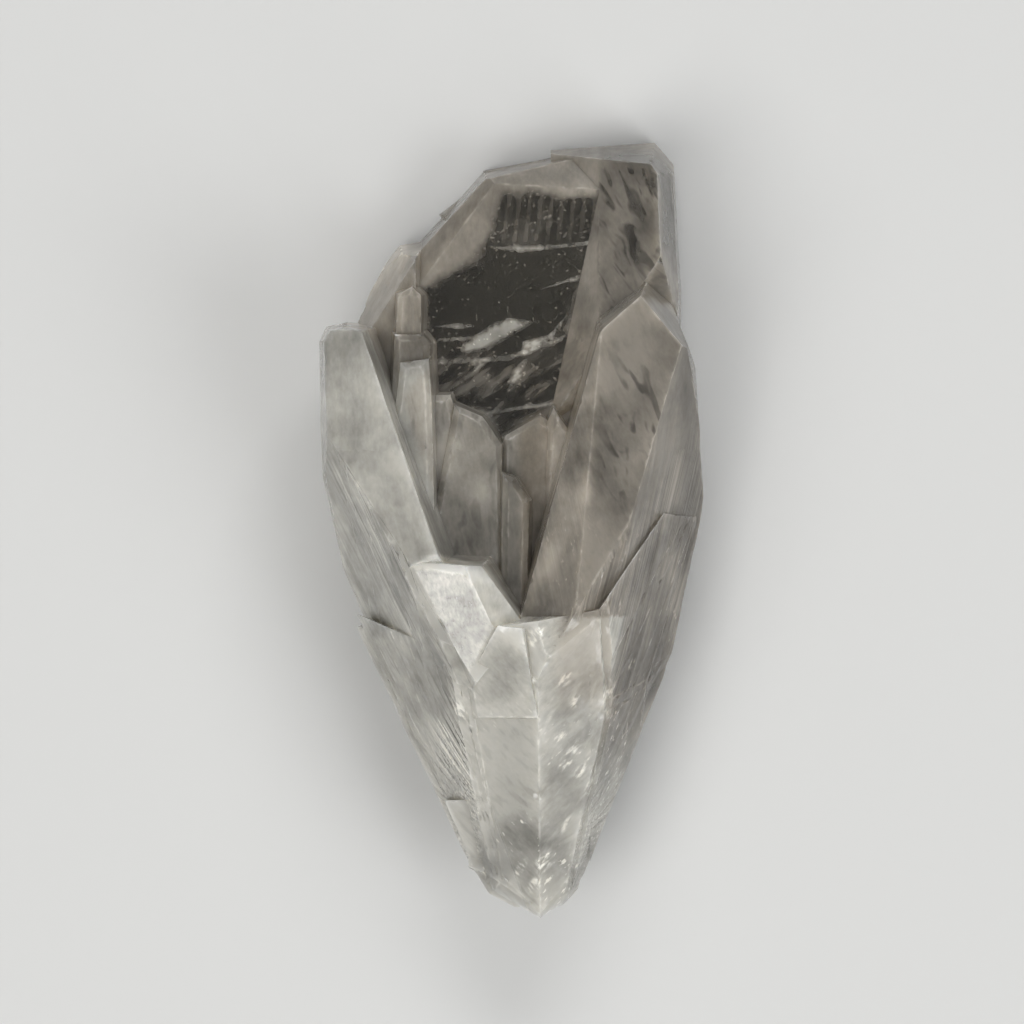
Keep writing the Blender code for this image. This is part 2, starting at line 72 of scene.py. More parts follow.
def halved(points, corners, longest):
    """Halves edges until none is longer than this. It also gives each new triangle's first one."""
    parent = np.arange(len(corners))
    while True:
        ends = np.sort(np.stack([corners, np.roll(corners, -1, axis=1)], axis=2), axis=2)
        keys = ends[:, :, 0] * len(points) + ends[:, :, 1]
        edges, index = np.unique(keys, return_inverse=True)
        index = index.reshape(-1, 3)
        starts, stops = edges // len(points), edges % len(points)
        lengths = np.linalg.norm(points[starts] - points[stops], axis=1)
        cut = lengths > longest
        if not cut.any():
            return points, corners, parent
        widest = lengths[index].argmax(axis=1)
        main_edge = index[np.arange(len(index)), widest]
        while not cut[main_edge[cut[index].any(axis=1)]].all():
            cut[main_edge[cut[index].any(axis=1)]] = True
        middle = np.full(len(edges), -1)
        middle[cut] = len(points) + np.arange(cut.sum())
        points = np.vstack([points, (points[starts[cut]] + points[stops[cut]]) / 2])
        turn = (np.arange(3)[None] + widest[:, None]) % 3
        a, b, c = np.take_along_axis(corners, turn, 1).T
        ab, bc, ca = np.take_along_axis(middle[index], turn, 1).T
        made = []
        for chosen, triangle in (
            (ab < 0, (a, b, c)),
            ((ab >= 0) & (bc < 0), (ab, b, c)),
            ((ab >= 0) & (bc >= 0), (ab, b, bc)),
            ((ab >= 0) & (bc >= 0), (ab, bc, c)),
            ((ab >= 0) & (ca < 0), (a, ab, c)),
            ((ab >= 0) & (ca >= 0), (a, ab, ca)),
            ((ab >= 0) & (ca >= 0), (ca, ab, c)),
        ):
            made.append((np.stack(triangle, axis=1)[chosen], parent[chosen]))
        corners = np.vstack([triangles for triangles, _ in made])
        parent = np.concatenate([first for _, first in made])


def unit(vectors):
    """The same directions, one long."""
    return vectors / np.maximum(np.linalg.norm(vectors, axis=-1, keepdims=True), 1e-12)


def swell(places, seed):
    """Smooth random bumps from -1 to 1, about one to a unit."""
    lattice = np.random.default_rng(seed).uniform(-1, 1, (32, 32, 32))
    cell = np.floor(places).astype(int)
    part = places - cell
    part = part * part * part * (part * (part * 6 - 15) + 10)
    total = np.zeros(places.shape[:-1])
    for corner in np.ndindex(2, 2, 2):
        share = np.prod(np.where(corner, part, 1 - part), axis=-1)
        x, y, z = np.moveaxis((cell + corner) % 32, -1, 0)
        total += share * lattice[x, y, z]
    return total


def veil(places, seed, octaves=3, rough=0.5):
    """Soft cloudiness, 0.5 on the whole."""
    bent = places + 0.35 * np.stack([swell(places * 0.8, seed + 50 + axis) for axis in range(3)], axis=1)
    total, most = 0.0, 0.0
    for octave in range(octaves):
        share = rough ** octave
        total = total + share * swell(bent * 2.0 ** octave, seed + octave)
        most += share
    return 0.5 + 0.42 * total / most


def ramp(values, low, high):
    """0 below low, 1 above high, smooth between."""
    share = np.clip((values - low) / (high - low), 0, 1)
    return share * share * (3 - 2 * share)


def inside(outline, places):
    """How far each place is inside an outline in the front view, in millimetres, and below 0 outside."""
    outline = np.array(outline, float)
    nearest = np.full(places.shape[:-1], np.inf)
    within = np.zeros(places.shape[:-1], bool)
    x, y = places[..., 0], places[..., 1]
    for start, stop in zip(outline, np.roll(outline, -1, axis=0)):
        along = stop - start
        share = ((x - start[0]) * along[0] + (y - start[1]) * along[1]) / (along @ along)
        share = np.clip(share, 0, 1)
        away = np.hypot(x - start[0] - share * along[0], y - start[1] - share * along[1])
        nearest = np.minimum(nearest, away)
        spans = (start[1] > y) != (stop[1] > y)
        height = along[1] if abs(along[1]) > 1e-9 else 1e-9
        within ^= spans & (x < start[0] + (y - start[1]) / height * along[0])
    return np.where(within, nearest, -nearest)


# Outlines in the front view, in millimetres.
CLEAR_PANE = [
    (-9.5, 24.9), (-3.9, 28.0), (-2.5, 30.5), (-1.4, 35.0), (9.2, 34.6), (9.0, 28.2), (7.4, 26.0),
    (6.0, 20.6), (6.6, 17.8), (5.0, 13.4), (3.0, 11.6), (-1.0, 9.2), (-3.6, 12.2), (-8.4, 13.6),
]
RIGHT_BLADE = [(9.1, 20.5), (13.2, 23.9), (18.0, 18.4), (18.4, 9.0), (9.0, -5.0), (5.5, -9.0), (0.8, -9.4)]
HOLLOW = [(-9.4, 24.5), (-8.4, 17.0), (-11.5, 13.5), (-6.0, -2.8), (1.2, -9.8), (7.0, 6.0), (9.1, 20.5)]
# The bright facet, which gets a painted highlight, and the way it faces.
BRIGHT_PANE = [
    (-10.1, -4.2), (-8.7, -3.9), (-5.1, -4.4), (-3.7, -5.3), (-2.7, -6.6), (-2.1, -8.5), (-1.7, -10.4),
    (-4.5, -15.1),
]
BRIGHT_FACING = (-0.21, -0.205, 1.0)
LIP_TOP = [(-10.3, -3.9), (-8.0, -2.7), (-3.0, -3.8), (1.4, -9.4), (1.0, -10.2), (-2.0, -10.0), (-4.7, -4.6)]
# The small facet, which gets a weaker painted highlight.
SMALL_PANE = [(1.1, -9.9), (7.2, -8.7), (3.4, -13.8)]
RIBBED_PANE = [(-1.6, 35.2), (9.1, 35.2), (9.1, 29.6), (-2.6, 29.4)]
ROUND_RIB = [(4.6, 14.0), (8.6, 14.0), (8.4, 4.0), (4.0, -5.0), (2.6, -5.0), (4.4, 3.0)]
# The deep gap, where painted shade goes.
SHADED_GAP = [(-0.8, 7.0), (0.9, 5.0), (1.0, -6.0), (-1.0, -6.0)]
FEATHERED = [(10.0, 18.0), (14.0, 17.0), (17.5, 8.0), (12.5, 2.0), (9.5, 5.0)]


# Bright flaws near the front faces, painted as glints: x, y, length and width in the front view.
FLAW_GLINTS = (
    (6.0, -23.2, 1.6, 0.5), (7.1, -24.8, 1.0, 0.35), (4.8, -21.2, 0.7, 0.4), (3.3, -34.2, 1.1, 0.6),
    (1.9, -11.3, 1.0, 0.7), (2.9, -10.5, 0.8, 0.4), (5.4, -15.4, 1.1, 0.4), (6.6, -17.6, 0.8, 0.35),
    (9.7, -17.2, 1.2, 0.4), (10.8, -8.3, 1.0, 0.4), (12.3, -13.9, 0.6, 0.5), (2.4, -36.6, 0.9, 0.5),
    (0.8, -35.0, 1.0, 0.35), (5.6, -30.4, 0.9, 0.3), (8.0, -26.6, 0.9, 0.3), (-5.4, -18.6, 1.3, 0.5),
)


def flaw_glints(places):
    """1 in the middle of a flaw's painted glint, 0 away from all of them."""
    found = np.zeros(places.shape[:-1])
    for x, y, length, width in FLAW_GLINTS:
        away = places[..., :2] - (x, y)
        side = 1 if x > 0 else -1
        run = away @ (0.55 * side, 0.835)
        aside = away @ (0.835 * side, -0.55)
        found = np.maximum(found, np.exp(-(run / length) ** 2 - (aside / width) ** 2))
    return found


def grain_along(middles, normals):
    """The way that growth lines run over each facet."""
    x, y = middles[:, 0], middles[:, 1]
    along = np.stack([-x * 0.9 + 1.5, -32 - y - 0.2 * np.abs(x), 0 * x], axis=1)
    steep = np.abs(normals[:, 2]) < 0.35
    up = y > -8
    along[y > 8] = (0.05, -1, 0)
    trailed = (inside(CLEAR_PANE, middles) > -1.0) & (y < 19.5) & (middles[:, 2] < PLATE_TOP)
    along[trailed] = (0.80, 0.60, 0)
    front = (normals[:, 2] > 0.6) & (y < -9.5)
    along[front & (x < 2.7) & (x > -6)] = (0.62, -0.78, 0)
    along[front & (x >= 2.7) & (x < 8)] = (-0.62, -0.78, 0)
    blade = (inside(RIGHT_BLADE, middles) > 0) & (normals[:, 2] > 0.6) & up
    along[blade] = (0.42, -0.9, 0)
    along[steep & (y > 12)] = (0.0, -1, 0.15)
    along[(x > 9.0) & (y > 18) & (middles[:, 2] < 17)] = (0.74, -0.67, 0)
    along = along - normals * np.sum(along * normals, axis=1, keepdims=True)
    return unit(along)


class CrystalMesh:
    """The crystal's fine mesh, and what varies over it at each corner of its triangles."""

    def __init__(self, solid):
        points, corners = facets_of(solid)
        self.points, self.corners, parent = halved(points, corners, LONGEST_EDGE)
        first = points[corners]
        flat = np.cross(first[:, 1] - first[:, 0], first[:, 2] - first[:, 0])
        middles = first.mean(axis=1)
        self.normals = unit(flat)[parent]
        places = self.points[self.corners]
        self.places = places
        middle = places.mean(axis=1)
        along = grain_along(middle, self.normals)
        across = unit(np.cross(self.normals, along))
        self.along = along
        level = 3.0 * np.sum(places[:, :1] * self.normals[:, None], axis=2)
        self.grain = np.stack([
            np.sum(places * across[:, None], axis=2),
            np.sum(places * along[:, None], axis=2),
            np.repeat(level, 3, axis=1),
        ], axis=2)

    def spread(self, values):
        """A value at each point: the mean of its corners."""
        total = np.bincount(self.corners.ravel(), values.ravel(), len(self.points))
        return total / np.maximum(np.bincount(self.corners.ravel(), minlength=len(self.points)), 1)

    def outward(self):
        """Each point's direction outwards."""
        found = np.stack([
            self.spread(np.repeat(self.normals[:, None, axis], 3, axis=1)) for axis in range(3)
        ], axis=1)
        return unit(found)


def relief(crystal):
    """How far growth lines and soft swells lift each point, in millimetres."""
    places, grain = crystal.places, crystal.grain
    x, y = places[..., 0], places[..., 1]
    normal_z = crystal.normals[:, None, 2]
    tip = y + 40
    flank = ramp(np.abs(x - 2.5 + 0.05 * tip) - 0.18 * tip, 0.0, 3.0) * (y < 12) * (normal_z < 0.85)
    pane = ramp(inside(CLEAR_PANE, places), -0.5, 0.5)
    lines = swell(grain * (1.15, 0.09, 1.0), 11) + 0.5 * swell(grain * (2.6, 0.2, 1.0), 12)
    soft = swell(places / 6.0, 13) + 0.5 * swell(places / 2.4, 14)
    lift = 0.05 * soft + (0.015 + 0.06 * flank) * lines
    return crystal.spread(lift * (1 - 0.8 * pane))


def chips(crystal, rims):
    """How far small chips cut back the points on sharp edges, in millimetres."""
    places = crystal.points
    bites = np.clip(swell(places / 0.9, 21) + 0.6 * swell(places / 0.45, 22) - 0.35, 0, 1)
    return 0.28 * bites * rims


def build_crystal(crystal, name):
    """Makes the fine mesh that stands for the solid."""
    mesh = bpy.data.meshes.new(name)
    count = len(crystal.corners)
    mesh.vertices.add(len(crystal.points))
    mesh.loops.add(3 * count)
    mesh.polygons.add(count)
    mesh.loops.foreach_set("vertex_index", crystal.corners.ravel().astype(np.int32))
    mesh.polygons.foreach_set("loop_start", np.arange(0, 3 * count, 3, dtype=np.int32))
    mesh.vertices.foreach_set("co", (crystal.points * MM).ravel())
    mesh.update(calc_edges=True)

    edge_of = np.empty(3 * count, np.int32)
    mesh.loops.foreach_get("edge_index", edge_of)
    pairs = np.argsort(edge_of, kind="stable").reshape(-1, 2) // 3
    turned = np.sum(crystal.normals[pairs[:, 0]] * crystal.normals[pairs[:, 1]], axis=1)
    sharp = turned < math.cos(math.radians(CREASE_ANGLE))
    gap = crystal.places[pairs[:, 1]].mean(axis=1) - crystal.places[pairs[:, 0]].mean(axis=1)
    ridge = sharp & (np.sum(crystal.normals[pairs[:, 0]] * gap, axis=1) < 0)
    ends = np.empty(2 * len(mesh.edges), np.int32)
    mesh.edges.foreach_get("vertices", ends)
    ends = ends.reshape(-1, 2)
    rims = np.zeros(len(crystal.points))
    rims[ends[ridge].ravel()] = 1

    lift = relief(crystal) - chips(crystal, rims)
    resting = crystal.points[:, 2] < 0.02
    moved = crystal.points + crystal.outward() * np.where(resting, 0.0, lift)[:, None]
    moved[:, 2] = np.maximum(moved[:, 2], 0.0)
    mesh.vertices.foreach_set("co", (moved * MM).ravel())

    near = KDTree(int(rims.sum()))
    for number, place in enumerate(crystal.points[rims > 0]):
        near.insert(place, number)
    near.balance()
    away = np.array([near.find(place)[2] for place in crystal.points])

    attributes = paint(crystal)
    attributes["rim"] = np.broadcast_to(away[crystal.corners], (count, 3))
    for title, values in attributes.items():
        layer = mesh.attributes.new(title, "FLOAT", "CORNER")
        layer.data.foreach_set("value", np.ascontiguousarray(values, np.float32).ravel())
    layer = mesh.attributes.new("grain", "FLOAT_VECTOR", "CORNER")
    layer.data.foreach_set("vector", np.ascontiguousarray(crystal.grain, np.float32).ravel())
    layer = mesh.attributes.new("sharp_edge", "BOOLEAN", "EDGE")
    layer.data.foreach_set("value", sharp)
    mesh.update()
    made = bpy.data.objects.new(name, mesh)
    bpy.context.scene.collection.objects.link(made)
    return made


def paint(crystal):
    """How cloudy, how warm and how pale each zone is, with painted light on the lip and painted shade in the
    deep gap, and the masks for painted highlights and glints.
    """
    places = crystal.places
    x, y, z = np.moveaxis(places, -1, 0)
    up = crystal.normals[:, None, 2] + 0 * x

    # Zones of the crystal, from 0 outside to 1 inside.
    flat_plate = (z < PLATE_TOP) & (np.abs(up) > 0.85)
    pane = np.where(flat_plate, inside(CLEAR_PANE, places), WELL_OUTSIDE)
    ribbed = np.where(flat_plate, inside(RIBBED_PANE, places), WELL_OUTSIDE)
    lower = ramp(-y, 16.0, 27.0)
    ridge = np.where(y > -9, 0.8, 9.8 + 0.2 * (y + 17.4))
    right = ramp(x - ridge, -0.4, 0.8)
    hollow = ramp(inside(HOLLOW, places), -0.2, 0.5) * (z < 20)
    behind = ramp(y, 12.0, 20.0) * (z < 16.5)
    rear_rib = ramp(x, 8.6, 9.4) * ramp(y, 18.0, 21.0) * (z < 17)
    dim = np.clip(right * (1 - lower) + behind, 0, 1)
    # Painted light: the lip's top, which falls in shade, is painted paler.
    lip_painted_light = ramp(inside(LIP_TOP, places), -0.3, 0.2) * (z > 8)
    shoulder = ramp(-x, 10.5, 11.5) * ramp(y, 19.0, 21.5)
    front = (up > 0.6) * (1 - right)
    smooth_pane = front * ramp(x, 3.6, 5.6) * ramp(-y, 8.0, 9.0) * (1 - ramp(-y, 16.0, 20.0))

    # How pale, how warm and how cloudy it is there: darker and warmer to the right and at the back, with
    # painted light on the lip and painted shade in the deep gap.
    pale = 0.47 - 0.21 * dim + 0.01 * front * ramp(-y, -8, 12)
    pale = pale + 0.06 * front * ramp(-y, 8.5, 10.5) * (1 - ramp(-y, 17, 20)) - 0.05 * ramp(-y, 30, 35)
    # The small facet's base is painted darker here; its painted highlight is added in calcite().
    pale = pale - 0.13 * smooth_pane - 0.11 * ramp(inside(SMALL_PANE, places), -0.3, 0.4) - 0.04 * lower
    pale = pale - 0.08 * ramp(x, 16.8, 18.2) + 0.13 * ramp(inside(ROUND_RIB, places), -0.6, 0.8)
    pale = pale + hollow * (0.46 - pale)
    # Painted shade: the deep gap is painted darker.
    pale = pale - 0.17 * ramp(inside(SHADED_GAP, places), -0.3, 0.5)
    pale = pale + behind * (1 - hollow) * (0.36 - pale)
    pale = pale + rear_rib * (0.31 - pale)
    # Painted light: the lip is painted much paler than the stone around it, most at its upper end.
    pale = pale + lip_painted_light * (0.68 + 0.30 * ramp(y, -6.0, -4.6) - pale)
    pale = pale + shoulder * (0.50 - pale)
    warm = np.clip(0.02 + 0.85 * dim + 0.45 * hollow + 0.5 * smooth_pane, 0, 1)
    cloud = 0.74 - 0.06 * dim - 0.08 * hollow - 0.10 * rear_rib + 0.12 * lower

    # Where painted glints go, and where growth lines, feathers and cracks mark it.
    glinting = 0.08 * (up > 0.2) + 0.8 * lower + 0.5 * right * ramp(-y, -4, 6)
    inner_edge = np.interp(y, (-33, -24, -15, -8, -4, 4, 12), (-2.2, -3.8, -4.6, -8.2, -10.2, -14.4, -18))
    beside = ramp(inner_edge - x, -0.3, 0.3) * (1 - 0.8 * ramp(inner_edge - x, 2.6, 4.6))
    blade = ramp(inside(RIGHT_BLADE, places), 0.0, 0.5)
    lined = np.where(x < 2, beside * (0.55 + 0.45 * ramp(-y, -6, 4)), 0.42 * (1 - 0.7 * blade))
    # Masks for the painted highlight on the bright facet and the small facet.
    on_facet = crystal.normals[:, None] @ unit(np.array(BRIGHT_FACING)) > 0.9985
    bright = np.where(on_facet, inside(BRIGHT_PANE, places), WELL_OUTSIDE)
    worn = ramp(-y, 27.5, 29.0) * ramp(-x - 0.35 * (y + 29), 1.5, 3.0)
    small = np.where((up > 0.6) & (z > 21), inside(SMALL_PANE, places), WELL_OUTSIDE)
    cracked = np.max([inside(corners, places) for corners, _, _ in CRACKS], axis=0)
    cracked = np.where((z > 7) & flat_plate, cracked, WELL_OUTSIDE)
    feathered = np.maximum(
        ramp(inside(FEATHERED, places), -2.0, 2.5) * (up > 0.5), rear_rib * (y < 37) * (up > 0.45),
    )
    feathered = feathered + 0.3 * hollow * (x < 0)
    striated = ramp(-up, -0.93, -0.80) * (up > 0.1) * ramp(-y, -14, -6) * lined
    striated = striated * (1 - 0.85 * front * ramp(-y, 7, 9))
    points = crystal.points
    return {
        "veils": veil(points * 0.12 + 3.0, 61)[crystal.corners],
        "wisps": veil(points * 0.26 + 9.0, 71, octaves=4, rough=0.55)[crystal.corners],
        "clusters": ramp(veil(points * 0.19 + 5.0, 81, octaves=2), 0.50, 0.66)[crystal.corners],
        "flaw_glinting": flaw_glints(places) * (up > 0.3),
        "cloud": cloud,
        "warm": warm,
        "pale": pale,
        "pane": pane,
        "ribbed": ribbed,
        "bright": bright,
        "cracked": np.maximum(cracked, WELL_OUTSIDE),
        "small": small,
        "feathered": feathered,
        "glinting": np.clip(glinting, 0, 1),
        "striated": striated,
        "smoky": ramp(-y, -19.5, -16.0),
        "plumed": front * ramp(-y, 12, 16) * np.where(x < 2.8, -0.8, 1.0),
        "worn": np.maximum(worn, on_facet * ramp(-bright, -0.3, 0.1)),
    }


# What lies inside the stone: healed cracks in the clear plate, and small cleavage flakes near the faces.


def thin_plate(work, ring, facing, thickness):
    """A closed thin plate on a ring of points, in millimetres."""
    half = np.asarray(facing) * thickness / 2
    front = [work.verts.new((place + half) * MM) for place in ring]
    back = [work.verts.new((place - half) * MM) for place in ring]
    work.faces.new(front)
    work.faces.new(back[::-1])
    for a in range(len(ring)):
        b = (a + 1) % len(ring)
        work.faces.new((back[a], back[b], front[b], front[a]))


def inner_piece(name, work):
    """An object of thin plates that rides in the crystal."""
    bmesh.ops.recalc_face_normals(work, faces=work.faces)
    bmesh.ops.triangulate(work, faces=work.faces)
    mesh = bpy.data.meshes.new(name)
    work.to_mesh(mesh)
    work.free()
    mesh.materials.append(pearly())
    made = bpy.data.objects.new(name, mesh)
    bpy.context.scene.collection.objects.link(made)
    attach(made, "root")
    return made


# Each crack's corners in the front view, its height over the resting face and its rise per millimetre up.
CRACKS = (
    (((-2.3, 29.0), (2.9, 29.1), (8.8, 29.8), (9.0, 29.4), (5.0, 29.0), (0.8, 28.6)), 6.2, 0.6),
    (
        ((-8.5, 17.3), (-0.7, 17.8), (5.0, 19.7), (5.6, 20.1), (5.2, 19.5), (-0.4, 17.3), (-8.5, 16.9)),
        5.2, -0.8,
    ),
    (
        (
            (-0.3, 21.8), (2.5, 21.4), (-0.2, 19.8), (-2.5, 18.4), (-4.7, 18.1), (-5.3, 18.6), (-3.6, 20.1),
            (-1.8, 21.3),
        ),
        5.8, 0.5,
    ),
    (((-8.0, 20.9), (-5.5, 21.2), (-3.9, 20.9), (-5.4, 20.6)), 6.8, 0.2),
    (((-8.4, 19.6), (-4.2, 19.8), (-4.4, 19.5), (-8.4, 19.4)), 4.0, 0.3),
    (((-4.7, 11.8), (0.0, 12.5), (4.6, 13.2), (4.7, 12.8), (0.0, 12.1), (-4.6, 11.4)), 6.4, -0.5),
    (((1.0, 19.3), (3.6, 19.8), (5.8, 22.2), (4.4, 20.0), (2.4, 18.7), (1.2, 18.6)), 6.0, 0.7),
    (((-2.6, 17.2), (-4.2, 15.6), (-6.4, 14.3), (-5.2, 15.6), (-3.4, 17.0)), 4.6, 0.9),
    (((1.5, 17.3), (0.9, 15.8), (-0.4, 14.3), (0.1, 15.9), (0.9, 17.1)), 5.5, -0.9),
    (((2.6, 24.6), (5.2, 25.5), (7.9, 26.2), (5.2, 25.3)), 7.2, 0.0),
)


def healed_cracks():
    """The bright lines and patches deep in the clear plate."""
    work = bmesh.new()
    for corners, height, rise in CRACKS:
        middle = np.mean(corners, axis=0)
        ring = [np.array((x, y, height + rise * (y - middle[1]))) for x, y in corners]
        thin_plate(work, ring, unit(np.array((0.0, -rise, 1.0))), 0.04)
    return inner_piece("healed_cracks", work)


def glint_flakes(crystal, count=170):
    """Small flakes a little under the faces, most on the flanks and round the lower crease."""
    dice = np.random.default_rng(SEED)
    middles = crystal.places.mean(axis=1)
    x, y, z = middles.T
    sides = crystal.places[:, 1:] - crystal.places[:, :1]
    area = np.linalg.norm(np.cross(sides[:, 0], sides[:, 1]), axis=1)
    up = crystal.normals[:, 2]
    likely = 0.12 + 0 * x
    likely += 0.8 * (y < -14) * (x > 2.8) * (x < 8) * (up > 0.5)
    likely += 1.2 * (np.abs(x - 2) > 7) * (y < 6) * (up > 0.2) * (up < 0.93)
    likely += 0.5 * (y < -10) * (up > 0.5)
    likely += 0.8 * (y < -32) * (up > 0.5)
    likely *= (inside(BRIGHT_PANE, middles) < 0.3) * (z > 3)
    likely *= 1 - 0.8 * (inside(CLEAR_PANE, middles) > -0.5)
    likely *= np.clip(swell(middles / 4.5, 31) + 0.25, 0, 1) ** 1.5
    chosen = dice.choice(len(middles), count, p=likely * area / np.sum(likely * area))
    work = bmesh.new()
    for one in chosen:
        normal, along = crystal.normals[one], crystal.along[one]
        long, wide = dice.lognormal(-1.35, 0.6), dice.lognormal(-2.05, 0.55)
        facing = unit(normal + 0.5 * dice.normal(size=3))
        run = unit(along + 0.22 * dice.normal(size=3))
        run = unit(run - facing * (run @ facing))
        aside = np.cross(facing, run)
        centre = middles[one] - normal * dice.uniform(0.35, 1.1)
        turns = np.linspace(0, 2 * math.pi, 6, endpoint=False) + dice.uniform(-0.3, 0.3, 6)
        ring = [
            centre + (run * long * math.cos(turn) + aside * wide * math.sin(turn)) * dice.uniform(0.6, 1.1)
            for turn in turns
        ]
        thin_plate(work, ring, facing, 0.03)
    return inner_piece("glint_flakes", work)


# Finishes, as node trees. Sums on a socket add the Math nodes.


class Field:
    """A node's output. + - and * on it add Math nodes."""

    def __init__(self, finish, socket):
        self.finish = finish
        self.socket = socket

    def maths(self, operation, first, second):
        return self.finish.add("ShaderNodeMath", {"operation": operation}, {0: first, 1: second})

    def __add__(self, other):
        return self.maths("ADD", self, other)

    __radd__ = __add__

    def __mul__(self, other):
        return self.maths("MULTIPLY", self, other)

    __rmul__ = __mul__

    def __sub__(self, other):
        return self.maths("SUBTRACT", self, other)

    def __rsub__(self, other):
        return self.maths("SUBTRACT", other, self)


class Finish:
    """A material's node tree."""

    def __init__(self, name):
        self.material = bpy.data.materials.new(name)
        self.material.use_nodes = True
        self.tree = self.material.node_tree
        self.tree.nodes.clear()

    def add(self, kind, settings=None, sockets=None, output=0):
        """A node of this kind, its settings set first and then its sockets' values or links."""
        node = self.tree.nodes.new(kind)
        for name, value in (settings or {}).items():
            setattr(node, name, value)
        for key, value in (sockets or {}).items():
            if isinstance(value, Field):
                self.tree.links.new(value.socket, node.inputs[key])
            else:
                node.inputs[key].default_value = value
        return Field(self, node.outputs[output])

    def vectors(self, operation, first, second):
        return self.add("ShaderNodeVectorMath", {"operation": operation}, {0: first, 1: second})

    def layer(self, name):
        """A value painted on the mesh."""
        return self.add("ShaderNodeAttribute", {"attribute_name": name}, output="Fac")

    def grain(self, across, along, shift=0.0):
        """Growth-line coordinates, drawn out along the grain."""
        lines = self.add("ShaderNodeAttribute", {"attribute_name": "grain"}, output="Vector")
        drawn_out = self.vectors("MULTIPLY", lines, (across, along, 1.0))
        return self.vectors("ADD", drawn_out, (shift, shift * 0.7, 0.3))

    def place(self, scale):
        """Object coordinates, in units of 1 / scale of a millimetre."""
        here = self.add("ShaderNodeTexCoord", output="Object")
        size = scale / MM
        return self.vectors("MULTIPLY", here, (size, size, size))

    def across(self, spacing):
        """Waves of this spacing in millimetres, side by side along the plate."""
        here = self.add("ShaderNodeTexCoord", output="Object")
        right = self.add("ShaderNodeSeparateXYZ", None, {0: here}, output="X")
        up = self.add("ShaderNodeSeparateXYZ", None, {0: here}, output="Y")
        return (right - up * 0.12) * (2 * math.pi / (spacing * MM))

    def sine(self, value):
        return self.add("ShaderNodeMath", {"operation": "SINE"}, {0: value})

    def noise(self, where, detail=3.0, rough=0.5, bend=0.0):
        return self.add(
            "ShaderNodeTexNoise", {"noise_dimensions": "3D"},
            {"Vector": where, "Scale": 1.0, "Detail": detail, "Roughness": rough, "Distortion": bend},
            output="Fac",
        )

    def step(self, value, low, high):
        """0 below low and 1 above high, smooth between. High may be the lower."""
        return self.add(
            "ShaderNodeMapRange", {"interpolation_type": "SMOOTHSTEP"},
            {"Value": value, "From Min": low, "From Max": high, "To Min": 0.0, "To Max": 1.0},
        )

    def blend(self, share, first, second):
        """A colour between two."""
        return self.add(
            "ShaderNodeMix", {"data_type": "RGBA", "clamp_factor": True},
            {"Factor": share, 6: first, 7: second}, output=2,
        )

    def close(self, surface, volume=None):
        """Feeds the material's output and gives the material."""
        ends = self.tree.nodes.new("ShaderNodeOutputMaterial")
        self.tree.links.new(surface.socket, ends.inputs["Surface"])
        if volume:
            self.tree.links.new(volume.socket, ends.inputs["Volume"])
        return self.material


def tint(red, green, blue):
    """An opaque colour."""
    return (red, green, blue, 1.0)


